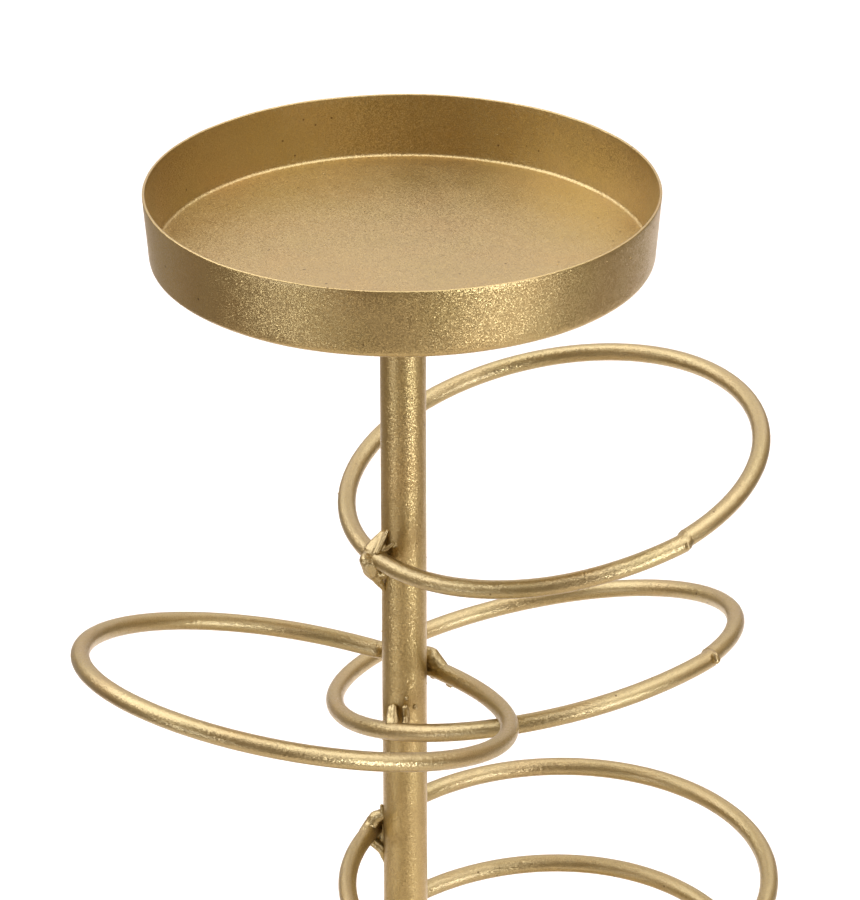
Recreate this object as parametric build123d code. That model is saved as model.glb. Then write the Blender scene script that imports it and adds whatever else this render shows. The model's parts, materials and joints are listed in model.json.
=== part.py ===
"""Candle holder: a shallow round pan on a thin tube stem, with closed wire rings
welded to the stem at different heights and angles, standing on a flat round base.

Millimetres, +Z up. The origin is the middle of the felt's underside, on the stem's axis.
"""
import os
from math import cos, degrees, radians, sin

from build123d import *

os.makedirs("parts", exist_ok=True)

# Whole object
total_height = 320.0

# Pan, pressed from sheet: the wall leans inwards towards the floor
pan_rim_radius = 55.0
pan_foot_radius = 53.8
pan_height = 15.4
pan_floor_sheet = 1.3
pan_wall_sheet = 1.0
pan_outer_corner = 1.5
pan_inner_corner = 0.5
pan_rim_round = 0.35

# Stem, a plain round tube
stem_diameter = 10.0
stem_wall = 1.0

# Base, a round steel plate with felt glued under it
base_radius = 60.0
base_thickness = 3.0
base_edge_round = 0.8
felt_inset = 2.0
felt_thickness = 1.5

# Rings, bent from round wire
ring_wire = 4.2
ring_radius = 47.0
ring_clearance = 0.2
# Space between the wire and the stem, filled by the weld
weld_gap = 0.15
# Each ring is closed with a small butt weld: one wire end stands proud of the other
seam_gap = 1.2
seam_step = 0.9
seam_merge_angle = 25.0

# Weld beads
bead_half_width = 3.0
bead_half_height = 5.2
pan_weld_leg = 2.5
base_weld_leg = 3.0

# One value for each ring, from the top ring down.
# Height of the weld as a share of the stem's length, from the base up
weld_height_shares = (0.765, 0.6575, 0.622, 0.524, 0.440, 0.362, 0.291, 0.218, 0.145)
# Direction in which the ring reaches out, about the stem
reach_angles = (29.9, -129.0, 40.9, -31.7, -41.1, -152.0, -98.0, 118.0, -168.0)
# Rise of the ring from its weld to its far side
rise_angles = (13.0, 16.8, 1.4, 0.5, 0.3, 7.0, 2.0, 8.0, 5.0)
# Roll of the ring about the line from its weld to its far side
roll_angles = (-0.2, -0.3, -16.5, 2.1, 6.0, 4.0, 11.0, -3.0, -9.0)
# Place of the closing weld around the ring, measured from the stem
seam_angles = (266.0, 346.0, 255.0, 200.0, 215.0, 150.0, 205.0, 120.0, 230.0)

stem_radius = stem_diameter / 2
wire_radius = ring_wire / 2
base_underside = felt_thickness
base_top = base_underside + base_thickness
pan_underside = total_height - pan_height
stem_length = pan_underside - base_top
pan_floor = pan_underside + pan_floor_sheet

node_shapes = {}


def turned(points, rounds):
    """Solid of revolution about Z from (radius, height) points.

    rounds is a list of (radius of the corner, point at the corner).
    """
    profile = make_face(Polyline(*points, close=True))
    for corner_radius, point in rounds:
        corner = profile.vertices().sort_by_distance(point)[0]
        profile = fillet(corner, corner_radius)
    return revolve(Plane.XZ * profile, axis=Axis.Z)


def fillet_weld(height, leg, upwards):
    """Weld run all round the stem, in the corner with a flat face at this height."""
    tip = height + leg if upwards else height - leg
    corner = (stem_radius, height)
    return turned([corner, (stem_radius + leg, height), (stem_radius, tip)], [])


# Pan
foot_point = (pan_foot_radius, pan_underside)
rim_outer_point = (pan_rim_radius, total_height)
rim_inner_point = (pan_rim_radius - pan_wall_sheet, total_height)
floor_edge_point = (pan_foot_radius - pan_wall_sheet, pan_floor)
node_shapes["candle_pan"] = turned(
    [(0, pan_underside), foot_point, rim_outer_point, rim_inner_point, floor_edge_point, (0, pan_floor)],
    [
        (pan_outer_corner, foot_point),
        (pan_inner_corner, floor_edge_point),
        (pan_rim_round, rim_outer_point),
        (pan_rim_round, rim_inner_point),
    ],
)
node_shapes["pan_weld"] = fillet_weld(pan_underside, pan_weld_leg, upwards=False)

# Stem
stem_solid = Pos(0, 0, base_top) * Cylinder(
    stem_radius, stem_length, align=(Align.CENTER, Align.CENTER, Align.MIN)
)
stem_bore = Pos(0, 0, base_top) * Cylinder(
    stem_radius - stem_wall, stem_length, align=(Align.CENTER, Align.CENTER, Align.MIN)
)
node_shapes["stem_tube"] = stem_solid - stem_bore

# Base
base_lower_edge = (base_radius, base_underside)
base_upper_edge = (base_radius, base_top)
node_shapes["base_plate"] = turned(
    [(0, base_underside), base_lower_edge, base_upper_edge, (0, base_top)],
    [(base_edge_round, base_lower_edge), (base_edge_round, base_upper_edge)],
)
node_shapes["base_weld"] = fillet_weld(base_top, base_weld_leg, upwards=True)
node_shapes["base_felt"] = Cylinder(
    base_radius - felt_inset, felt_thickness, align=(Align.CENTER, Align.CENTER, Align.MIN)
)


def ring_plane(height, reach_angle, rise_angle, roll_angle):
    """Plane of a ring: origin at its centre, X towards its weld on the stem."""
    reach, rise, roll = radians(reach_angle), radians(rise_angle), radians(roll_angle)
    outwards = Vector(cos(reach), sin(reach), 0)
    sideways = Vector(-sin(reach), cos(reach), 0)
    upwards = Vector(0, 0, 1)
    weld_point = upwards * height - outwards * (stem_radius + weld_gap + wire_radius)
    to_centre = outwards * cos(rise) + upwards * sin(rise)
    normal = upwards * cos(rise) - outwards * sin(rise)
    tangent = sideways * cos(roll) + normal * sin(roll)
    towards_weld = to_centre * -1
    return Plane(weld_point + to_centre * ring_radius, x_dir=towards_weld, z_dir=towards_weld.cross(tangent))


def settled_planes():
    """Planes of all rings. A ring that would touch one above it slides down until it is clear."""
    planes = []
    circles = []
    slide = ring_wire / 20
    settings = zip(weld_height_shares, reach_angles, rise_angles, roll_angles)
    for height_share, reach_angle, rise_angle, roll_angle in settings:
        height = base_top + stem_length * height_share
        while True:
            plane = ring_plane(height, reach_angle, rise_angle, roll_angle)
            circle = Edge.make_circle(ring_radius, plane)
            nearest = min((circle.distance_to(other) for other in circles), default=ring_radius)
            if nearest >= ring_wire + ring_clearance:
                break
            height -= slide
        planes.append(plane)
        circles.append(circle)
    return planes


def ring_and_seam(plane, seam_angle):
    """The bent wire and the closing weld between its two ends."""
    merge_length = ring_radius * radians(seam_merge_angle)
    proud_radius = 1 / (1 / ring_radius - 2 * seam_step / merge_length**2)
    merge_angle = seam_angle + seam_merge_angle
    tail_angle = seam_angle + 360 - degrees(seam_gap / ring_radius)
    # The proud end is an arc of larger radius that runs tangent into the ring's circle
    merge_turn = radians(merge_angle)
    shift = ring_radius - proud_radius
    proud_origin = plane.from_local_coords(Vector(cos(merge_turn) * shift, sin(merge_turn) * shift, 0))
    proud_plane = Plane(proud_origin, x_dir=plane.x_dir, z_dir=plane.z_dir)
    proud_start = merge_angle - degrees(merge_length / proud_radius)
    proud_arc = Edge.make_circle(proud_radius, proud_plane, start_angle=proud_start, end_angle=merge_angle)
    main_arc = Edge.make_circle(ring_radius, plane, start_angle=merge_angle, end_angle=tail_angle)
    path = Wire([proud_arc, main_arc])
    proud_section = Plane(proud_arc @ 0, z_dir=proud_arc % 0) * Circle(wire_radius)
    tail_section = Plane(main_arc @ 1, z_dir=main_arc % 1) * Circle(wire_radius)
    wire = sweep(proud_section, path=path)
    seam = loft([tail_section, proud_section], ruled=True)
    return wire, seam


def stem_bead(plane, ring):
    """Weld between a ring and the stem: it fills the gap and stands above and below the wire."""
    weld_point = plane.from_local_coords(Vector(ring_radius, 0, 0))
    inwards = Vector(-weld_point.X, -weld_point.Y, 0).normalized()
    middle = weld_point + inwards * (wire_radius + weld_gap / 2)
    half_outline = make_face(
        EllipticalCenterArc((0, 0), bead_half_width, bead_half_height, start_angle=-90, arc_size=180)
        + Line((0, bead_half_height), (0, -bead_half_height))
    )
    # The bead's surface closes on the side that is inside the stem
    bead = Plane(middle, x_dir=inwards, z_dir=(0, 0, 1)) * revolve(Plane.XZ * half_outline, axis=Axis.Z)
    return bead - stem_solid - ring


# Rings with their closing welds and stem welds
for number, (plane, seam_angle) in enumerate(zip(settled_planes(), seam_angles), start=1):
    ring, seam = ring_and_seam(plane, seam_angle)
    node_shapes[f"ring_{number}"] = ring
    node_shapes[f"ring_{number}_seam"] = seam
    node_shapes[f"ring_{number}_weld"] = stem_bead(plane, ring)

for name, shape in node_shapes.items():
    export_step(shape, f"parts/{name}.step")
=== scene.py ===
"""Gold candle holder: a shallow round pan on a tube stem, with wire rings welded to the stem.

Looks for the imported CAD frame. Metres, +Z up. The origin is the middle of the felt's underside.
"""

import json
import math
import random

import bmesh
import bpy
import numpy as np
from mathutils import Euler, Matrix, Vector, noise

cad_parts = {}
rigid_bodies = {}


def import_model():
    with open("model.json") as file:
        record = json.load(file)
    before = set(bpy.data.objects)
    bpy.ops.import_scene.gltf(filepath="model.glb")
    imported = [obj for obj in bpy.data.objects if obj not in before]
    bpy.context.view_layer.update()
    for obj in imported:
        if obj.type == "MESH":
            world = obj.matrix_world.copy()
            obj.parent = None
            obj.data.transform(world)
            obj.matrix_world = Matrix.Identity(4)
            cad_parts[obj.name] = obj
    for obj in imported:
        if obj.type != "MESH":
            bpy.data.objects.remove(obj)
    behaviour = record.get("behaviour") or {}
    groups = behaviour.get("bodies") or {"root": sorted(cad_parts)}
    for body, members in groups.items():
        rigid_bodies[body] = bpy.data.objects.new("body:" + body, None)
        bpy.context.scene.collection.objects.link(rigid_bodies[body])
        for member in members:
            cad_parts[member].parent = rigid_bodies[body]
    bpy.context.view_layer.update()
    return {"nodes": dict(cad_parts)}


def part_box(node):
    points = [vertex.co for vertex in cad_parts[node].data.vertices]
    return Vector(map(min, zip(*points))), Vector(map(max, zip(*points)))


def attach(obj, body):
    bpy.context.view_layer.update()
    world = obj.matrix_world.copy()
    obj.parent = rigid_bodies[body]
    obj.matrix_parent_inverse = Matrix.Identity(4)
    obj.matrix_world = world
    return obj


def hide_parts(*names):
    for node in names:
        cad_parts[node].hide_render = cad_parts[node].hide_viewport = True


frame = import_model()

# Stem: drawn steel tube, cut square at both ends. It stands on the base plate, carries the pan,
# and every ring is welded to its side. After welding, the whole holder was sprayed with one
# coat of gold paint full of metal flakes.
mm = 0.001
stem_wall = 1.0 * mm
stem_end_round = 0.2 * mm
stem_spacing = 6.0 * mm
stem_low, stem_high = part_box("stem_tube")
stem_radius = (stem_high.x - stem_low.x) / 2
stem_turn_steps = 96
round_steps = 5
sharp_angle = math.radians(50)
merge_distance = 0.002 * mm

paint_gold = "#B49D67"
paint_copper = "#BB965C"
paint_olive = "#A79757"
paint_speck = "#5A4424"
# Real flakes are near 0.05 mm across: they are drawn this coarse so that they show
flake_size = 0.19 * mm
flake_lean = 0.32
flake_shade_low, flake_shade_high = 0.88, 1.12
peel_size = 1.6 * mm
peel_depth = 0.004 * mm
cloud_size = 16.0 * mm
cloud_share = 0.2
cloud_low, cloud_middle, cloud_high = 0.28, 0.50, 0.72
patch_size = 7.0 * mm
patch_low, patch_high = 0.3, 0.7
speck_spacing = 5.0 * mm
speck_size = 0.35 * mm
speck_edge = speck_size / speck_spacing
speck_share = 0.8
paint_roughness_low, paint_roughness_high = 0.36, 0.42
lacquer_share = 0.25
lacquer_roughness = 0.3


def linear(hex_colour):
    """An sRGB hex colour as linear RGBA."""
    channels = [int(hex_colour[start : start + 2], 16) / 255 for start in (1, 3, 5)]
    return (*[c / 12.92 if c <= 0.04045 else ((c + 0.055) / 1.055) ** 2.4 for c in channels], 1.0)


def add_node(tree, kind, settings=None, links=None):
    """Adds a node. Settings are its properties or input values; links are (node, output) pairs by input."""
    node = tree.nodes.new(kind)
    for name, value in (settings or {}).items():
        if name in node.bl_rna.properties:
            setattr(node, name, value)
        else:
            next(s for s in node.inputs if name in (s.identifier, s.name)).default_value = value
    for name, (source, output) in (links or {}).items():
        start = next(s for s in source.outputs if s.enabled and output in (s.identifier, s.name))
        end = next(s for s in node.inputs if s.enabled and name in (s.identifier, s.name))
        tree.links.new(start, end)
    return node


def rounded_outline(corners, spacing):
    """Closed outline of (radius, height) points, from corners of (radius, height, rounding).

    Straight runs are divided so that no stretch is longer than the spacing.
    """
    bends = []
    for index, (radius, height, rounding) in enumerate(corners):
        corner = Vector((radius, height))
        before = (Vector(corners[index - 1][:2]) - corner).normalized()
        after = (Vector(corners[(index + 1) % len(corners)][:2]) - corner).normalized()
        if rounding == 0:
            bends.append(corner)
            continue
        half = before.angle(after) / 2
        centre = corner + (before + after).normalized() * (rounding / math.sin(half))
        start = corner + before * (rounding / math.tan(half)) - centre
        end = corner + after * (rounding / math.tan(half)) - centre
        sweep = start.angle(end)
        for step in range(round_steps + 1):
            share = step / round_steps
            bend = start * math.sin((1 - share) * sweep) + end * math.sin(share * sweep)
            bends.append(centre + bend / math.sin(sweep))
    outline = []
    for index, point in enumerate(bends):
        following = bends[(index + 1) % len(bends)]
        parts = max(1, math.ceil((following - point).length / spacing))
        outline += [point.lerp(following, part / parts) for part in range(parts)]
    return outline


def mesh_piece(name, points, faces):
    """A mesh object at the origin, with doubles merged, faces outwards and smooth shading."""
    mesh = bpy.data.meshes.new(name)
    mesh.from_pydata(points, [], faces)
    work = bmesh.new()
    work.from_mesh(mesh)
    bmesh.ops.remove_doubles(work, verts=work.verts, dist=merge_distance)
    bmesh.ops.recalc_face_normals(work, faces=work.faces)
    work.to_mesh(mesh)
    work.free()
    mesh.shade_smooth()
    mesh.set_sharp_from_angle(angle=sharp_angle)
    piece = bpy.data.objects.new(name, mesh)
    bpy.context.scene.collection.objects.link(piece)
    return piece


def turned_piece(name, outline, turn_steps):
    """Turns a closed outline about the stem's axis."""
    points = []
    for step in range(turn_steps):
        turn = 2 * math.pi * step / turn_steps
        for radius, height in outline:
            points.append((radius * math.cos(turn), radius * math.sin(turn), height))
    faces = []
    count = len(outline)
    for step in range(turn_steps):
        here = step * count
        there = (step + 1) % turn_steps * count
        for index in range(count):
            following = (index + 1) % count
            faces.append((here + index, there + index, there + following, here + following))
    return mesh_piece(name, points, faces)


def dress(piece, material, slot, *nodes):
    """Gives a finished piece its material and its place in the frame."""
    piece.data.materials.clear()
    piece.data.materials.append(material)
    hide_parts(*nodes)
    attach(piece, "root")


def flake_paint(name, gold, copper, olive):
    """Sprayed paint: a thin clear lacquer over leafing metal flakes that lie nearly flat.

    Its broad soft sheen breaks into sparkles where the lamps are. The coat has faint copper and
    olive clouds where it is thinner or thicker, and a few dark specks of dust.
    """
    material = bpy.data.materials.new(name)
    material.use_nodes = True
    tree = material.node_tree
    tree.nodes.clear()
    place = {"Vector": (add_node(tree, "ShaderNodeTexCoord"), "Object")}
    flakes = add_node(tree, "ShaderNodeTexVoronoi", {"Scale": 1 / flake_size}, place)
    peel = add_node(tree, "ShaderNodeTexNoise", {"Scale": 1 / peel_size, "Detail": 2.0}, place)
    clouds = add_node(tree, "ShaderNodeTexNoise", {"Scale": 1 / cloud_size, "Detail": 3.0}, place)
    specks = add_node(tree, "ShaderNodeTexVoronoi", {"Scale": 1 / speck_spacing}, place)
    patches = add_node(tree, "ShaderNodeTexNoise", {"Scale": 1 / patch_size, "Detail": 2.0}, place)
    # Flakes lean at random out of the coat's own surface
    lean = add_node(
        tree,
        "ShaderNodeVectorMath",
        {"operation": "SUBTRACT", "Vector_001": (0.5, 0.5, 0.5)},
        {"Vector": (flakes, "Color")},
    )
    coat = add_node(tree, "ShaderNodeBump", {"Distance": peel_depth}, {"Height": (peel, "Fac")})
    leaning = add_node(
        tree,
        "ShaderNodeVectorMath",
        {"operation": "MULTIPLY_ADD", "Vector_001": (flake_lean, flake_lean, flake_lean)},
        {"Vector": (lean, "Vector"), "Vector_002": (coat, "Normal")},
    )
    flake_normal = add_node(
        tree, "ShaderNodeVectorMath", {"operation": "NORMALIZE"}, {"Vector": (leaning, "Vector")}
    )
    # Colour: clouds of copper and olive on the gold, then specks, then each flake's own shade
    colour, output = None, "Result_Color"
    layers = [
        (copper, (clouds, "Fac"), {"From Min": cloud_middle, "From Max": cloud_high, "To Max": cloud_share}),
        (olive, (clouds, "Fac"), {"From Min": cloud_middle, "From Max": cloud_low, "To Max": cloud_share}),
        (
            paint_speck,
            (specks, "Distance"),
            {"From Min": speck_edge, "From Max": speck_edge / 2, "To Max": speck_share},
        ),
    ]
    for layer_colour, pattern, limits in layers:
        share = add_node(tree, "ShaderNodeMapRange", limits, {"Value": pattern})
        links = {"Factor_Float": (share, "Result")}
        if colour:
            links["A_Color"] = (colour, output)
        settings = {"data_type": "RGBA", "A_Color": linear(gold), "B_Color": linear(layer_colour)}
        colour = add_node(tree, "ShaderNodeMix", settings, links)
    channels = add_node(tree, "ShaderNodeSeparateColor", {}, {"Color": (flakes, "Color")})
    shade = add_node(
        tree,
        "ShaderNodeMapRange",
        {"To Min": flake_shade_low, "To Max": flake_shade_high},
        {"Value": (channels, "Red")},
    )
    flaked = add_node(
        tree,
        "ShaderNodeVectorMath",
        {"operation": "SCALE"},
        {"Vector": (colour, output), "Scale": (shade, "Result")},
    )
    gloss = add_node(
        tree,
        "ShaderNodeMapRange",
        {
            "From Min": patch_low,
            "From Max": patch_high,
            "To Min": paint_roughness_low,
            "To Max": paint_roughness_high,
        },
        {"Value": (patches, "Fac")},
    )
    shader = add_node(
        tree,
        "ShaderNodeBsdfPrincipled",
        {"Metallic": 1.0, "Coat Weight": lacquer_share, "Coat Roughness": lacquer_roughness},
        {
            "Base Color": (flaked, "Vector"),
            "Roughness": (gloss, "Result"),
            "Normal": (flake_normal, "Vector"),
        },
    )
    add_node(tree, "ShaderNodeOutputMaterial", {}, {"Surface": (shader, "BSDF")})
    return material


gold_paint = flake_paint("gold_flake_paint", paint_gold, paint_copper, paint_olive)
stem_bore = stem_radius - stem_wall
stem_corners = [
    (stem_radius, stem_low.z, stem_end_round),
    (stem_radius, stem_high.z, stem_end_round),
    (stem_bore, stem_high.z, 0),
    (stem_bore, stem_low.z, 0),
]
stem = turned_piece("stem", rounded_outline(stem_corners, stem_spacing), stem_turn_steps)
dress(stem, gold_paint, "gold_paint", "stem_tube")

# Base: a round steel plate with eased edges, and the weld run that fixes the stem to it.
# The photograph ends above it, so its size and shape are the CAD model's guess.
base_low, base_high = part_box("base_plate")
base_radius = (base_high.x - base_low.x) / 2
base_edge_round = 0.8 * mm
base_spacing = 3.0 * mm
base_turn_steps = 160
base_weld_leg = 3.0 * mm
weld_sink = 0.3 * mm
weld_bulge_share = 0.08
weld_turn_steps = 144
weld_ripples = 36
weld_ripple_depth = 0.14 * mm

base_corners = [
    (0, base_low.z, 0),
    (base_radius, base_low.z, base_edge_round),
    (base_radius, base_high.z, base_edge_round),
    (0, base_high.z, 0),
]
base = turned_piece("base", rounded_outline(base_corners, base_spacing), base_turn_steps)
dress(base, gold_paint, "gold_paint", "base_plate")


def weld_run(name, height, leg, upwards, node):
    """Weld all round the stem, in the corner with a flat face: a full bead with fine ripples."""
    way = 1 if upwards else -1
    inner = stem_radius - weld_sink
    sunk = height - way * weld_sink
    bulge = leg * weld_bulge_share
    outline = [Vector((inner, sunk)), Vector((stem_radius + leg, sunk))]
    for step in range(round_steps * 2 + 1):
        share = step / (round_steps * 2)
        swell = bulge * math.sin(math.pi * share)
        out = stem_radius + leg * (1 - share) + swell
        outline.append(Vector((out, height + way * (leg * share + swell))))
    outline.append(Vector((inner, height + way * leg)))
    piece = turned_piece(name, outline, weld_turn_steps)
    for vertex in piece.data.vertices:
        turn = math.atan2(vertex.co.y, vertex.co.x)
        radius = Vector((vertex.co.x, vertex.co.y)).length
        proud = max(0.0, radius - stem_radius) / leg
        wave = abs(math.sin(turn * weld_ripples / 2 + noise.noise(vertex.co / leg))) - 1
        pull = 1 + wave * weld_ripple_depth * proud / radius
        vertex.co.x *= pull
        vertex.co.y *= pull
    dress(piece, gold_paint, "gold_paint", node)


weld_run("base_weld_bead", base_high.z, base_weld_leg, True, "base_weld")

# Felt: a disc of dark wool felt, punched from sheet and glued under the base plate.
# It keeps the holder from scratching the table and shows only from below.
felt_low, felt_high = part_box("base_felt")
felt_radius = (felt_high.x - felt_low.x) / 2
felt_edge_round = 0.3 * mm
felt_spacing = 1.5 * mm
felt_fuzz = 0.08 * mm
felt_fuzz_size = 0.9 * mm
# The paler felt colour is partly the felt's own mottle and partly painted sheen on the raised nap
felt_dark = "#2E2A26"
felt_pale_and_sheen = "#4A443D"
fibre_length = 1.2 * mm
fibre_width = 0.12 * mm
tangle_low, tangle_high = 0.15, 0.40
felt_roughness = 0.95
felt_sheen = 0.4
felt_corners = [
    (0, felt_low.z, 0),
    (felt_radius, felt_low.z, felt_edge_round),
    (felt_radius, felt_high.z, 0),
    (0, felt_high.z, 0),
]
felt = turned_piece("felt_disc", rounded_outline(felt_corners, felt_spacing), base_turn_steps)
for vertex in felt.data.vertices:
    if vertex.co.z < felt_high.z - felt_edge_round / 2:
        fuzz = felt_fuzz * (0.5 + 0.5 * noise.noise(vertex.co / felt_fuzz_size))
        vertex.co.z += fuzz
        vertex.co.x *= 1 - fuzz / felt_radius
        vertex.co.y *= 1 - fuzz / felt_radius

# Wool felt, pressed: tangled fibres with no direction, matt, with a mottle drawn paler where the nap stands
# up: partly the felt's own mottle, partly painted sheen on the raised fibres
wool_felt = bpy.data.materials.new("wool_felt")
wool_felt.use_nodes = True
wool = wool_felt.node_tree
wool.nodes.clear()
wool_place = add_node(wool, "ShaderNodeTexCoord")
tangle = add_node(
    wool,
    "ShaderNodeTexNoise",
    {"Scale": 1 / fibre_length, "Detail": 4.0, "Distortion": 3.0},
    {"Vector": (wool_place, "Object")},
)
fibres = add_node(
    wool,
    "ShaderNodeTexNoise",
    {"Scale": 1 / fibre_width, "Detail": 2.0},
    {"Vector": (wool_place, "Object")},
)
tangled = add_node(
    wool,
    "ShaderNodeMath",
    {"operation": "MULTIPLY"},
    {"Value": (tangle, "Fac"), "Value_001": (fibres, "Fac")},
)
mottle_and_sheen = add_node(
    wool,
    "ShaderNodeMapRange",
    {"From Min": tangle_low, "From Max": tangle_high},
    {"Value": (tangled, "Value")},
)
wool_colour = add_node(
    wool,
    "ShaderNodeMix",
    {"data_type": "RGBA", "A_Color": linear(felt_dark), "B_Color": linear(felt_pale_and_sheen)},
    {"Factor_Float": (mottle_and_sheen, "Result")},
)
nap = add_node(wool, "ShaderNodeBump", {"Distance": felt_fuzz}, {"Height": (tangled, "Value")})
wool_shader = add_node(
    wool,
    "ShaderNodeBsdfPrincipled",
    {"Roughness": felt_roughness, "Sheen Weight": felt_sheen},
    {"Base Color": (wool_colour, "Result_Color"), "Normal": (nap, "Normal")},
)
add_node(wool, "ShaderNodeOutputMaterial", {}, {"Surface": (wool_shader, "BSDF")})
dress(felt, wool_felt, "base_felt", "base_felt")

# Rings: steel wire bent round a former and cut so that the two ends meet. One end springs out
# and stands a little proud of the other. The stem passes through each ring and is welded to
# the inside of its wire.
ring_count = 9
ring_radius = 47.0 * mm
wire_radius = 2.1 * mm
seam_gap = 1.2 * mm
seam_step = 0.9 * mm
seam_merge_angle = math.radians(25)
wire_waver = 0.02 * mm
# The wire is drawn a trace thin, so that the dust on it stays inside the CAD model's box
wire_trim = 0.03 * mm
wire_waver_size = 9.0 * mm
ring_points = 420
wire_points = 28
# The rings, their seams and their stem welds take the same gold paint drawn paler and bluer: painted light,
# standing for the whiter light that falls on the wires
ring_gold_painted_light = "#B09D6D"
ring_copper_painted_light = "#B79662"
ring_olive_painted_light = "#A3975D"
ring_paint_with_painted_light = flake_paint("ring_flake_paint_painted_light", ring_gold_painted_light, ring_copper_painted_light, ring_olive_painted_light)

ring_tree = bpy.data.node_groups.new("bent_ring", "GeometryNodeTree")
ring_inputs = {
    "Centre": "NodeSocketVector",
    "Towards weld": "NodeSocketVector",
    "Along wire": "NodeSocketVector",
    "Ring radius": "NodeSocketFloat",
    "Wire radius": "NodeSocketFloat",
    "Seam angle": "NodeSocketFloat",
    "Gap angle": "NodeSocketFloat",
    "Proud step": "NodeSocketFloat",
    "Merge angle": "NodeSocketFloat",
    "Points along": "NodeSocketInt",
    "Points around": "NodeSocketInt",
    "Waver": "NodeSocketFloat",
    "Waver size": "NodeSocketFloat",
    "Paint": "NodeSocketMaterial",
}


def add_inputs(tree, inputs):
    """Names a tree's inputs and its one geometry output, and returns the input node and the sockets' ids."""
    ids = {}
    for name, kind in inputs.items():
        ids[name] = tree.interface.new_socket(name, in_out="INPUT", socket_type=kind).identifier
    tree.interface.new_socket("Geometry", in_out="OUTPUT", socket_type="NodeSocketGeometry")
    return add_node(tree, "NodeGroupInput"), ids


def grow(name, mesh, tree, ids, values):
    """A piece made by a node tree with these input values, as plain mesh."""
    piece = bpy.data.objects.new(name, mesh)
    bpy.context.scene.collection.objects.link(piece)
    modifier = piece.modifiers.new("grown", "NODES")
    modifier.node_group = tree
    for input_name, value in values.items():
        modifier[ids[input_name]] = value
    plain(piece)
    piece.data.set_sharp_from_angle(angle=sharp_angle)
    return piece


def plain(piece):
    """Turns a piece's live modifiers into plain mesh."""
    graph = bpy.context.evaluated_depsgraph_get()
    finished = bpy.data.meshes.new_from_object(piece.evaluated_get(graph), depsgraph=graph)
    piece.modifiers.clear()
    piece.data = finished
    finished.name = piece.name


sizes, ring_ids = add_inputs(ring_tree, ring_inputs)
straight = add_node(ring_tree, "GeometryNodeCurvePrimitiveLine")
spread = add_node(
    ring_tree,
    "GeometryNodeResampleCurve",
    {},
    {"Curve": (straight, "Curve"), "Count": (sizes, "Points along")},
)
travel = add_node(ring_tree, "GeometryNodeSplineParameter")
full_sweep = add_node(
    ring_tree,
    "ShaderNodeMath",
    {"operation": "SUBTRACT", "Value": 2 * math.pi},
    {"Value_001": (sizes, "Gap angle")},
)
swept = add_node(
    ring_tree,
    "ShaderNodeMath",
    {"operation": "MULTIPLY"},
    {"Value": (travel, "Factor"), "Value_001": (full_sweep, "Value")},
)
turn = add_node(
    ring_tree,
    "ShaderNodeMath",
    {"operation": "ADD"},
    {"Value": (swept, "Value"), "Value_001": (sizes, "Seam angle")},
)
merged = add_node(
    ring_tree,
    "ShaderNodeMath",
    {"operation": "DIVIDE"},
    {"Value": (swept, "Value"), "Value_001": (sizes, "Merge angle")},
)
unmerged = add_node(
    ring_tree,
    "ShaderNodeMath",
    {"operation": "SUBTRACT", "use_clamp": True, "Value": 1.0},
    {"Value_001": (merged, "Value")},
)
spring = add_node(
    ring_tree,
    "ShaderNodeMath",
    {"operation": "POWER", "Value_001": 2.0},
    {"Value": (unmerged, "Value")},
)
reach = add_node(
    ring_tree,
    "ShaderNodeMath",
    {"operation": "MULTIPLY_ADD"},
    {"Value": (spring, "Value"), "Value_001": (sizes, "Proud step"), "Value_002": (sizes, "Ring radius")},
)
cosine = add_node(ring_tree, "ShaderNodeMath", {"operation": "COSINE"}, {"Value": (turn, "Value")})
sine = add_node(ring_tree, "ShaderNodeMath", {"operation": "SINE"}, {"Value": (turn, "Value")})
reach_out = add_node(
    ring_tree,
    "ShaderNodeMath",
    {"operation": "MULTIPLY"},
    {"Value": (reach, "Value"), "Value_001": (cosine, "Value")},
)
reach_along = add_node(
    ring_tree,
    "ShaderNodeMath",
    {"operation": "MULTIPLY"},
    {"Value": (reach, "Value"), "Value_001": (sine, "Value")},
)
step_out = add_node(
    ring_tree,
    "ShaderNodeVectorMath",
    {"operation": "SCALE"},
    {"Vector": (sizes, "Towards weld"), "Scale": (reach_out, "Value")},
)
step_along = add_node(
    ring_tree,
    "ShaderNodeVectorMath",
    {"operation": "SCALE"},
    {"Vector": (sizes, "Along wire"), "Scale": (reach_along, "Value")},
)
from_centre = add_node(
    ring_tree,
    "ShaderNodeVectorMath",
    {"operation": "ADD"},
    {"Vector": (step_out, "Vector"), "Vector_001": (step_along, "Vector")},
)
bent_place = add_node(
    ring_tree,
    "ShaderNodeVectorMath",
    {"operation": "ADD"},
    {"Vector": (from_centre, "Vector"), "Vector_001": (sizes, "Centre")},
)
bent = add_node(
    ring_tree,
    "GeometryNodeSetPosition",
    {},
    {"Geometry": (spread, "Curve"), "Position": (bent_place, "Vector")},
)
section = add_node(
    ring_tree,
    "GeometryNodeCurvePrimitiveCircle",
    {},
    {"Resolution": (sizes, "Points around"), "Radius": (sizes, "Wire radius")},
)
wire = add_node(
    ring_tree,
    "GeometryNodeCurveToMesh",
    {"Fill Caps": True},
    {"Curve": (bent, "Geometry"), "Profile Curve": (section, "Curve")},
)
here = add_node(ring_tree, "GeometryNodeInputPosition")
waver_place = add_node(
    ring_tree,
    "ShaderNodeVectorMath",
    {"operation": "DIVIDE"},
    {"Vector": (here, "Position"), "Vector_001": (sizes, "Waver size")},
)
unevenness = add_node(
    ring_tree,
    "ShaderNodeTexNoise",
    {"Scale": 1.0, "Detail": 2.0},
    {"Vector": (waver_place, "Vector")},
)
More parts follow.
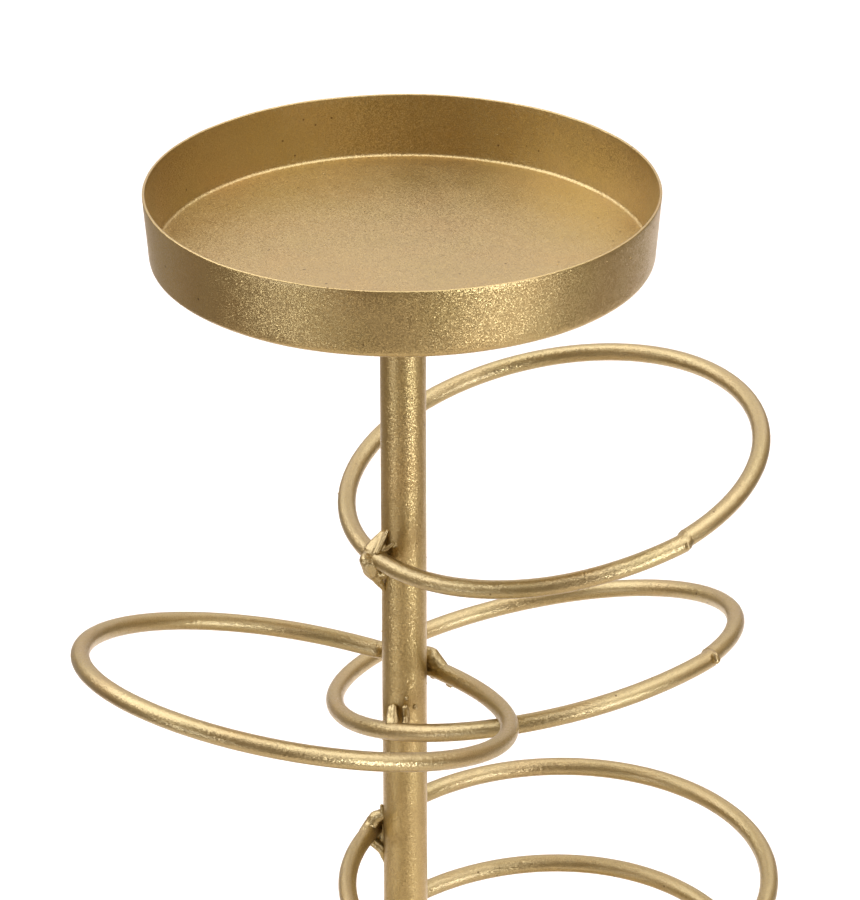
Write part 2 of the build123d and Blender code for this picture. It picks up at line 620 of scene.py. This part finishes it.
lift_size = add_node(
    ring_tree,
    "ShaderNodeMath",
    {"operation": "MULTIPLY_ADD", "Value_001": 2.0, "Value_002": -1.0},
    {"Value": (unevenness, "Fac")},
)
lift = add_node(
    ring_tree,
    "ShaderNodeMath",
    {"operation": "MULTIPLY"},
    {"Value": (lift_size, "Value"), "Value_001": (sizes, "Waver")},
)
outwards = add_node(ring_tree, "GeometryNodeInputNormal")
lifted = add_node(
    ring_tree,
    "ShaderNodeVectorMath",
    {"operation": "SCALE"},
    {"Vector": (outwards, "Normal"), "Scale": (lift, "Value")},
)
uneven_wire = add_node(
    ring_tree, "GeometryNodeSetPosition", {}, {"Geometry": (wire, "Mesh"), "Offset": (lifted, "Vector")}
)
smooth_wire = add_node(ring_tree, "GeometryNodeSetShadeSmooth", {}, {"Geometry": (uneven_wire, "Geometry")})
real_wire = add_node(ring_tree, "GeometryNodeRealizeInstances", {}, {"Geometry": (smooth_wire, "Geometry")})
painted_wire = add_node(
    ring_tree,
    "GeometryNodeSetMaterial",
    {},
    {"Geometry": (real_wire, "Geometry"), "Material": (sizes, "Paint")},
)
add_node(ring_tree, "NodeGroupOutput", {}, {"Geometry": (painted_wire, "Geometry")})


def ring_place(number):
    """A CAD ring's centre, the directions from there to its weld and along the wire, and its seam's angle."""
    node = frame["nodes"][f"ring_{number}"]
    points = np.array([vertex.co for vertex in node.data.vertices])
    middle = points.mean(axis=0)
    across, up_slope, normal = np.linalg.svd(points - middle, full_matrices=False)[2]
    flat = np.column_stack([(points - middle) @ across, (points - middle) @ up_slope])
    terms = np.column_stack([2 * flat, np.ones(len(flat))])
    circle = np.linalg.lstsq(terms, (flat**2).sum(axis=1), rcond=None)[0]
    centre = Vector(middle + circle[0] * across + circle[1] * up_slope)
    sideways = Vector((-centre.y, centre.x, 0)).normalized()
    towards_weld = sideways.cross(Vector(normal)).normalized()
    if towards_weld.xy.dot(centre.xy) > 0:
        towards_weld.negate()
    along = Vector(normal).cross(towards_weld)
    if along.dot(sideways) < 0:
        along.negate()
    seam_low, seam_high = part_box(f"ring_{number}_seam")
    to_seam = (seam_low + seam_high) / 2 - centre
    seam_angle = math.atan2(to_seam.dot(along), to_seam.dot(towards_weld)) + seam_gap / ring_radius / 2
    return centre, towards_weld, along, seam_angle


ring_places = {}
for number in range(1, ring_count + 1):
    centre, towards_weld, along, seam_angle = ring_place(number)
    ring_places[number] = (centre, towards_weld, along, seam_angle)
    ring = grow(
        f"wire_ring_{number}",
        bpy.data.meshes.new("empty"),
        ring_tree,
        ring_ids,
        {
            "Centre": centre,
            "Towards weld": towards_weld,
            "Along wire": along,
            "Ring radius": ring_radius,
            "Wire radius": wire_radius - wire_waver - wire_trim,
            "Seam angle": seam_angle,
            "Gap angle": seam_gap / ring_radius,
            "Proud step": seam_step,
            "Merge angle": seam_merge_angle,
            "Points along": ring_points,
            "Points around": wire_points,
            "Waver": wire_waver,
            "Waver size": wire_waver_size,
            "Paint": ring_paint_with_painted_light,
        },
    )
    dress(ring, ring_paint_with_painted_light, "gold_paint", f"ring_{number}")

# Seams: each ring's two wire ends are closed by a short butt weld, ground a little and painted
# over. A small burr of weld stands out on the proud end.
lump_voxel = 0.20 * mm
lump_smoothing = 6
lump_settling_share = 0.5
drop_spacing_share = 0.3
weld_grain = 0.07 * mm
weld_grain_size = 0.9 * mm
seam_fill_share = 0.985
burr_shares = {3: 0.50, 1: 0.30, 5: 0.36, 8: 0.42}
burr_common_share = 0.26
burr_sink_share = 0.55
burr_tip_share = 0.8


def lump(name, runs, seed):
    """Weld metal merged from runs of drops: (start, end, start radius, end radius)."""
    work = bmesh.new()
    for start, end, start_radius, end_radius in runs:
        drops = 1 + math.ceil((end - start).length / (drop_spacing_share * min(start_radius, end_radius)))
        for drop in range(drops):
            share = drop / max(1, drops - 1)
            radius = start_radius + (end_radius - start_radius) * share
            spot = Matrix.Translation(start.lerp(end, share))
            bmesh.ops.create_icosphere(work, subdivisions=2, radius=radius, matrix=spot)
    mesh = bpy.data.meshes.new(name)
    work.to_mesh(mesh)
    work.free()
    piece = bpy.data.objects.new(name, mesh)
    bpy.context.scene.collection.objects.link(piece)
    merge = piece.modifiers.new("merged", "REMESH")
    merge.mode = "VOXEL"
    merge.voxel_size = lump_voxel
    settle = piece.modifiers.new("settled", "SMOOTH")
    settle.factor = lump_settling_share
    settle.iterations = lump_smoothing
    plain(piece)
    shift = Vector((seed, seed, seed))
    normals = [vertex.normal.copy() for vertex in piece.data.vertices]
    for vertex, normal in zip(piece.data.vertices, normals):
        vertex.co += normal * weld_grain * noise.noise(vertex.co / weld_grain_size + shift)
    piece.data.shade_smooth()
    return piece


for number, (centre, towards_weld, along, seam_angle) in ring_places.items():
    tail_angle = seam_angle - seam_gap / ring_radius
    proud_way = towards_weld * math.cos(seam_angle) + along * math.sin(seam_angle)
    tail_way = towards_weld * math.cos(tail_angle) + along * math.sin(tail_angle)
    proud_end = centre + proud_way * (ring_radius + seam_step)
    tail_end = centre + tail_way * ring_radius
    forward = (proud_end - tail_end).normalized()
    fill = wire_radius * seam_fill_share
    burr = wire_radius * burr_shares.get(number, burr_common_share)
    burr_spot = proud_end + proud_way * (wire_radius - burr * burr_sink_share) + forward * burr
    runs = [
        (tail_end, proud_end, fill, fill),
        (burr_spot, burr_spot + along.cross(towards_weld) * burr, burr, burr * burr_tip_share),
    ]
    seam = lump(f"seam_bead_{number}", runs, number)
    dress(seam, ring_paint_with_painted_light, "gold_paint", f"ring_{number}_seam")

# Stem welds: short runs of weld metal that join each ring's wire to the stem, left as welded and
# painted over. They stand above and below the wire with ridges, pits and drops of spatter.
# Each run: start and end as (out from the stem, along the wire, up), then the two radii, all as
# shares of the wire's radius and measured from the middle of the wire
bead_run_shares = {
    1: [
        ((1.00, -0.12, -0.10), (0.74, -0.20, -1.35), 0.93, 0.78),
        ((0.92, -0.52, -0.28), (0.70, -0.45, -1.30), 0.86, 0.76),
        ((0.74, -0.10, -1.35), (0.05, 0.00, -2.30), 0.78, 0.62),
        ((0.05, 0.00, -2.30), (-1.05, 0.05, -4.15), 0.62, 0.26),
        ((-0.75, 0.00, 0.00), (-0.95, 0.00, -2.20), 0.60, 0.66),
        ((0.30, 0.45, 0.65), (-1.05, 0.25, 2.30), 0.80, 0.40),
        ((0.25, -0.10, 0.60), (-1.10, -0.05, 2.25), 0.80, 0.42),
        ((0.20, -0.60, 0.55), (-1.10, -0.35, 2.50), 0.60, 0.30),
        ((0.37, -1.06, 1.00), (-1.15, -0.62, 3.02), 0.24, 0.19),
        ((-0.45, -0.95, 0.98), (-1.45, -1.30, 1.77), 0.30, 0.20),
        ((-0.35, -0.62, -1.90), (-0.55, -0.68, -1.95), 0.36, 0.30),
    ],
    2: [
        ((-0.45, 0.20, 1.65), (-0.15, 1.00, 1.50), 0.92, 0.97),
        ((-0.15, 1.00, 1.50), (-0.08, 1.60, 0.90), 0.97, 0.92),
        ((-0.08, 1.60, 0.90), (-0.05, 2.60, 0.20), 0.92, 0.82),
        ((-0.75, -0.60, 0.00), (-0.85, 0.10, -1.40), 0.60, 0.55),
        ((0.05, 0.92, -1.04), (0.05, 1.16, -1.12), 0.28, 0.24),
        ((-0.15, 3.35, -1.06), (-0.15, 3.60, -1.18), 0.38, 0.30),
    ],
    3: [
        ((-0.25, -1.45, 1.20), (-1.00, -0.60, 2.50), 0.66, 0.38),
        ((-0.30, -1.95, 1.35), (-1.12, -0.95, 2.75), 0.58, 0.34),
        ((-0.75, 0.00, -0.20), (-0.85, 0.20, -1.30), 0.60, 0.50),
        ((-1.85, -2.05, 1.60), (-1.80, -2.00, 2.80), 0.46, 0.40),
        ((-1.85, -2.05, 1.60), (-1.20, -2.70, 1.30), 0.46, 0.40),
        ((-1.98, -1.95, 3.85), (-1.98, -1.95, 3.95), 0.26, 0.22),
        ((-2.85, -2.40, 2.64), (-2.85, -2.40, 2.74), 0.30, 0.26),
    ],
    4: [
        ((-0.10, -2.70, 0.10), (0.03, -1.60, 0.48), 0.91, 0.86),
        ((0.03, -1.60, 0.48), (-0.45, -1.30, 1.55), 0.86, 0.76),
        ((-0.45, -1.30, 1.55), (-1.35, -1.10, 2.25), 0.76, 0.62),
        ((-0.20, -0.60, 0.75), (-1.20, -0.40, 2.00), 0.70, 0.50),
        ((-0.20, -1.35, -1.60), (-1.30, -1.30, -2.25), 0.55, 0.52),
        ((-1.30, -1.30, -2.25), (-1.60, -1.35, -3.70), 0.52, 0.14),
        ((-0.75, -0.15, 0.10), (-1.00, -0.30, -1.90), 0.66, 0.70),
        ((-0.10, -0.20, -1.35), (-0.90, -0.25, -1.85), 0.58, 0.62),
        ((-0.70, 0.50, 0.00), (-0.80, 0.50, -1.20), 0.55, 0.55),
        ((-1.35, -1.15, 2.50), (-1.26, -1.33, 3.30), 0.42, 0.22),
    ],
}
common_run_shares = [
    ((-0.10, -0.40, 0.60), (-1.05, -0.30, 2.20), 0.75, 0.40),
    ((-0.20, 0.50, 0.50), (-1.10, 0.60, 1.90), 0.65, 0.40),
    ((-0.10, 0.10, -0.60), (-1.05, 0.00, -2.30), 0.75, 0.40),
    ((-0.70, 0.00, 0.40), (-0.80, 0.00, -0.60), 0.65, 0.65),
    ((-1.42, 1.10, 2.70), (-1.42, 1.10, 2.80), 0.18, 0.15),
    ((-1.33, -0.90, -2.90), (-1.33, -0.90, -3.00), 0.20, 0.16),
]
weld_scatter_share = 0.12
dice = random.Random(11)


def scattered(point):
    """A point moved a little, for welds that the photograph doesn't show."""
    return tuple(part + dice.uniform(-weld_scatter_share, weld_scatter_share) for part in point)


for number, (centre, towards_weld, along, seam_angle) in ring_places.items():
    weld_point = centre + towards_weld * ring_radius
    out = Vector((weld_point.x, weld_point.y, 0)).normalized()
    level_along = Vector((along.x, along.y, 0)).normalized()
    up = Vector((0, 0, 1))
    axes = Matrix((out, level_along, up)).transposed() * wire_radius
    shares = bead_run_shares.get(number)
    if shares is None:
        shares = [
            (scattered(start), scattered(end), first, last) for start, end, first, last in common_run_shares
        ]
    runs = []
    for start, end, first, last in shares:
        runs.append(
            (
                weld_point + axes @ Vector(start),
                weld_point + axes @ Vector(end),
                first * wire_radius,
                last * wire_radius,
            )
        )
    bead = lump(f"weld_bead_{number}", runs, number + ring_count)
    dress(bead, ring_paint_with_painted_light, "gold_paint", f"ring_{number}_weld")

# Pan: pressed from thin sheet steel, with a flat floor, a wall that leans out a little and thins
# towards a plain trimmed rim. It holds the candle and is welded to the top of the stem.
pan_low, pan_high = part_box("candle_pan")
pan_rim_radius = (pan_high.x - pan_low.x) / 2
pan_foot_radius = 53.8 * mm
pan_floor_sheet = 1.3 * mm
pan_wall_sheet = 1.0 * mm
pan_rim_sheet = 0.6 * mm
pan_outer_corner = 1.5 * mm
pan_inner_corner = 0.8 * mm
pan_rim_round = 0.26 * mm
pan_spacing = 1.6 * mm
pan_turn_steps = 288
pan_waver = 0.09 * mm
pan_waver_size = 17.0 * mm
pan_rim_dip = 0.12 * mm
pan_sag_shift = Vector((9, 4, 2))
pan_weld_leg = 2.5 * mm

pan_floor = pan_low.z + pan_floor_sheet
pan_corners = [
    (0, pan_low.z, 0),
    (pan_foot_radius, pan_low.z, pan_outer_corner),
    (pan_rim_radius, pan_high.z, pan_rim_round),
    (pan_rim_radius - pan_rim_sheet, pan_high.z, pan_rim_round),
    (pan_foot_radius - pan_wall_sheet, pan_floor, pan_inner_corner),
    (0, pan_floor, 0),
]
pan = turned_piece("pan", rounded_outline(pan_corners, pan_spacing), pan_turn_steps)
for vertex in pan.data.vertices:
    flat_place = Vector((vertex.co.x, vertex.co.y, 0)) / pan_waver_size
    rise = (vertex.co.z - pan_low.z) / (pan_high.z - pan_low.z)
    radius = Vector((vertex.co.x, vertex.co.y)).length
    bulge = 1 + pan_waver * rise * noise.noise(flat_place) / pan_rim_radius
    vertex.co.x *= bulge
    vertex.co.y *= bulge
    vertex.co.z -= pan_rim_dip * rise * (0.5 + 0.5 * noise.noise(flat_place * 2))
    sag = noise.noise(flat_place + pan_sag_shift) * radius / pan_rim_radius
    vertex.co.z += pan_waver * (1 - rise) * sag
dress(pan, gold_paint, "gold_paint", "candle_pan")
weld_run("pan_weld_bead", pan_low.z, pan_weld_leg, False, "pan_weld")

# Paint grit: dust and dry paint that settled on the wet coat, small pimples under the same gold.
# They lie anywhere on the pan, stem, base and rings.
grit_per_square_metre = 2600.0
grit_small = 0.07 * mm
grit_large = 0.20 * mm
grit_seed = 5

grit_tree = bpy.data.node_groups.new("paint_grit", "GeometryNodeTree")
grit_inputs = {
    "Painted pieces": "NodeSocketGeometry",
    "Grit per square metre": "NodeSocketFloat",
    "Smallest": "NodeSocketFloat",
    "Largest": "NodeSocketFloat",
    "Seed": "NodeSocketInt",
    "Paint": "NodeSocketMaterial",
}
grit_sizes, grit_ids = add_inputs(grit_tree, grit_inputs)
settled = add_node(
    grit_tree,
    "GeometryNodeDistributePointsOnFaces",
    {},
    {
        "Mesh": (grit_sizes, "Painted pieces"),
        "Density": (grit_sizes, "Grit per square metre"),
        "Seed": (grit_sizes, "Seed"),
    },
)
grain = add_node(grit_tree, "GeometryNodeMeshIcoSphere", {"Radius": 1.0, "Subdivisions": 2})
grain_size = add_node(
    grit_tree,
    "FunctionNodeRandomValue",
    {"data_type": "FLOAT"},
    {"Min_001": (grit_sizes, "Smallest"), "Max_001": (grit_sizes, "Largest"), "Seed": (grit_sizes, "Seed")},
)
grains = add_node(
    grit_tree,
    "GeometryNodeInstanceOnPoints",
    {},
    {"Points": (settled, "Points"), "Instance": (grain, "Mesh"), "Scale": (grain_size, "Value_001")},
)
real_grains = add_node(grit_tree, "GeometryNodeRealizeInstances", {}, {"Geometry": (grains, "Instances")})
smooth_grains = add_node(grit_tree, "GeometryNodeSetShadeSmooth", {}, {"Geometry": (real_grains, "Geometry")})
painted_grains = add_node(
    grit_tree,
    "GeometryNodeSetMaterial",
    {},
    {"Geometry": (smooth_grains, "Geometry"), "Material": (grit_sizes, "Paint")},
)
add_node(grit_tree, "NodeGroupOutput", {}, {"Geometry": (painted_grains, "Geometry")})

painted = bmesh.new()
for piece in [pan, stem, base] + [bpy.data.objects[f"wire_ring_{number}"] for number in ring_places]:
    painted.from_mesh(piece.data)
painted_mesh = bpy.data.meshes.new("painted")
painted.to_mesh(painted_mesh)
painted.free()
grit = grow(
    "paint_grit",
    painted_mesh,
    grit_tree,
    grit_ids,
    {
        "Grit per square metre": grit_per_square_metre,
        "Smallest": grit_small,
        "Largest": grit_large,
        "Seed": grit_seed,
        "Paint": gold_paint,
    },
)
dress(grit, gold_paint, "gold_paint")

# Studio: a strip of pale paper on a warm grey table, white behind the object, in a plain pale room.
# Two small soft boxes stand low to the right and left of the camera. Large ones hang to the right
# and left of the object, over it and behind it.
floor_half_side = 6.0
floor_pale = "#E6DED1"
floor_grey = "#6E614E"
floor_glow = 0.2
floor_white_end, floor_white_start = 0.19, 0.235
paper_front_end, paper_front_start = -0.48, -0.27
paper_side_end, paper_side_start = 0.41, 0.28
paper_middle = 0.09
world_colour = "#F4D6B1"
world_strength = 0.62
# The room is darker behind the camera: the way to its dark part, and cosines of the angle from there
room_dark_strength = 0.34
room_dark_way = Vector((-0.25, -0.88, 0.40))
room_dark_end, room_dark_start = 0.60, 0.97
lamp_colour = "#E0E7FF"
lamp_aim_share = 0.7
# Soft boxes: turned to the right of the camera and raised, in degrees, then metres and watts
lamps = {
    "key": {"side": 41, "rise": -2.5, "distance": 1.2, "width": 0.36, "height": 0.28, "power": 8.3},
    "fill": {"side": -50, "rise": -10, "distance": 0.85, "width": 0.30, "height": 0.12, "power": 1.25},
    "right": {"side": 66, "rise": 50, "distance": 1.4, "width": 2.6, "height": 1.1, "power": 13.6},
    "left": {"side": -98, "rise": 44, "distance": 1.4, "width": 1.6, "height": 1.2, "power": 21.0},
    "top": {"side": 100, "rise": 82, "distance": 1.3, "width": 1.6, "height": 1.5, "power": 19.0},
    "back": {"side": 180, "rise": 30, "distance": 1.7, "width": 2.6, "height": 1.4, "power": 10.5},
}

floor = mesh_piece(
    "floor",
    [
        (-floor_half_side, -floor_half_side, 0),
        (floor_half_side, -floor_half_side, 0),
        (floor_half_side, floor_half_side, 0),
        (-floor_half_side, floor_half_side, 0),
    ],
    [(0, 1, 2, 3)],
)
paper = bpy.data.materials.new("floor_paper")
paper.use_nodes = True
sheet = paper.node_tree
sheet.nodes.clear()
floor_place = add_node(sheet, "ShaderNodeTexCoord")
place_parts = add_node(sheet, "ShaderNodeSeparateXYZ", {}, {"Vector": (floor_place, "Object")})
nearness = add_node(
    sheet,
    "ShaderNodeMapRange",
    {"interpolation_type": "SMOOTHSTEP", "From Min": paper_front_end, "From Max": paper_front_start},
    {"Value": (place_parts, "Y")},
)
from_middle = add_node(
    sheet,
    "ShaderNodeMath",
    {"operation": "SUBTRACT", "Value_001": paper_middle},
    {"Value": (place_parts, "X")},
)
off_middle = add_node(sheet, "ShaderNodeMath", {"operation": "ABSOLUTE"}, {"Value": (from_middle, "Value")})
narrowness = add_node(
    sheet,
    "ShaderNodeMapRange",
    {"interpolation_type": "SMOOTHSTEP", "From Min": paper_side_end, "From Max": paper_side_start},
    {"Value": (off_middle, "Value")},
)
strip_paleness = add_node(
    sheet,
    "ShaderNodeMath",
    {"operation": "MULTIPLY"},
    {"Value": (nearness, "Result"), "Value_001": (narrowness, "Result")},
)
# Every view has a plain pale floor: the grey part of the table shows only in the paint
ray = add_node(sheet, "ShaderNodeLightPath")
pale_to_see = add_node(
    sheet,
    "ShaderNodeMath",
    {"operation": "MAXIMUM"},
    {"Value": (strip_paleness, "Value"), "Value_001": (ray, "Is Camera Ray")},
)
paper_colour = add_node(
    sheet,
    "ShaderNodeMix",
    {"data_type": "RGBA", "A_Color": linear(floor_grey), "B_Color": linear(floor_pale)},
    {"Factor_Float": (pale_to_see, "Value")},
)
paper_shade = add_node(sheet, "ShaderNodeBsdfDiffuse", {}, {"Color": (paper_colour, "Result_Color")})
seen_or_mirrored = add_node(
    sheet,
    "ShaderNodeMath",
    {"operation": "MAXIMUM"},
    {"Value": (ray, "Is Camera Ray"), "Value_001": (ray, "Is Glossy Ray")},
)
seen = add_node(
    sheet,
    "ShaderNodeMath",
    {"operation": "MAXIMUM"},
    {"Value": (seen_or_mirrored, "Value"), "Value_001": (ray, "Is Transmission Ray")},
)
whiteness = add_node(
    sheet,
    "ShaderNodeMapRange",
    {
        "interpolation_type": "SMOOTHSTEP",
        "From Min": floor_white_end,
        "From Max": floor_white_start,
        "To Max": floor_glow,
    },
    {"Value": (place_parts, "Y")},
)
glow_seen = add_node(
    sheet,
    "ShaderNodeMath",
    {"operation": "MULTIPLY"},
    {"Value": (whiteness, "Result"), "Value_001": (seen, "Value")},
)
glow = add_node(sheet, "ShaderNodeEmission", {}, {"Strength": (glow_seen, "Value")})
lit_paper = add_node(
    sheet,
    "ShaderNodeAddShader",
    {},
    {"Shader": (paper_shade, "BSDF"), "Shader_001": (glow, "Emission")},
)
add_node(sheet, "ShaderNodeOutputMaterial", {}, {"Surface": (lit_paper, "Shader")})
floor.data.materials.append(paper)

world = bpy.data.worlds.new("pale_room")
world.use_nodes = True
bpy.context.scene.world = world
world.node_tree.nodes.clear()
room_way = add_node(world.node_tree, "ShaderNodeTexCoord")
towards_dark = add_node(
    world.node_tree,
    "ShaderNodeVectorMath",
    {"operation": "DOT_PRODUCT", "Vector_001": room_dark_way},
    {"Vector": (room_way, "Generated")},
)
brightness = add_node(
    world.node_tree,
    "ShaderNodeMapRange",
    {
        "interpolation_type": "SMOOTHSTEP",
        "From Min": room_dark_end,
        "From Max": room_dark_start,
        "To Min": world_strength,
        "To Max": room_dark_strength,
    },
    {"Value": (towards_dark, "Value")},
)
room = add_node(
    world.node_tree,
    "ShaderNodeBackground",
    {"Color": linear(world_colour)},
    {"Strength": (brightness, "Result")},
)
add_node(world.node_tree, "ShaderNodeOutputWorld", {}, {"Surface": (room, "Background")})

lamp_aim = Vector((0, 0, stem_high.z * lamp_aim_share))
for name, lamp in lamps.items():
    side, rise = math.radians(lamp["side"]), math.radians(lamp["rise"])
    way = Vector((math.sin(side) * math.cos(rise), -math.cos(side) * math.cos(rise), math.sin(rise)))
    light = bpy.data.lights.new(name, "AREA")
    light.shape = "RECTANGLE"
    light.size, light.size_y = lamp["width"], lamp["height"]
    light.energy = lamp["power"]
    light.color = linear(lamp_colour)[:3]
    soft_box = bpy.data.objects.new(name, light)
    soft_box.location = lamp_aim + way * lamp["distance"]
    soft_box.rotation_euler = way.to_track_quat("Z", "Y").to_euler()
    soft_box.visible_camera = False
    bpy.context.scene.collection.objects.link(soft_box)

# Camera: the photograph's place and angle, found by fitting the pan's rim, the stem and the rings.
camera_place = Vector((-5.44, -838.94, 664.30)) * mm
camera_down, camera_right, camera_roll = 25.829, 0.767, 0.120
sensor_width = 36.0
lens_length = 171.26
camera_data = bpy.data.cameras.new("camera")
camera_data.sensor_width = sensor_width
camera_data.lens = lens_length
camera = bpy.data.objects.new("camera", camera_data)
bpy.context.scene.collection.objects.link(camera)
aim = Euler((math.radians(90 - camera_down), 0, math.radians(-camera_right))).to_matrix()
aim = aim @ Matrix.Rotation(math.radians(-camera_roll), 3, "Z")
camera.matrix_world = Matrix.Translation(camera_place) @ aim.to_4x4()
bpy.context.scene.camera = camera
bpy.context.scene.view_settings.view_transform = "Standard"
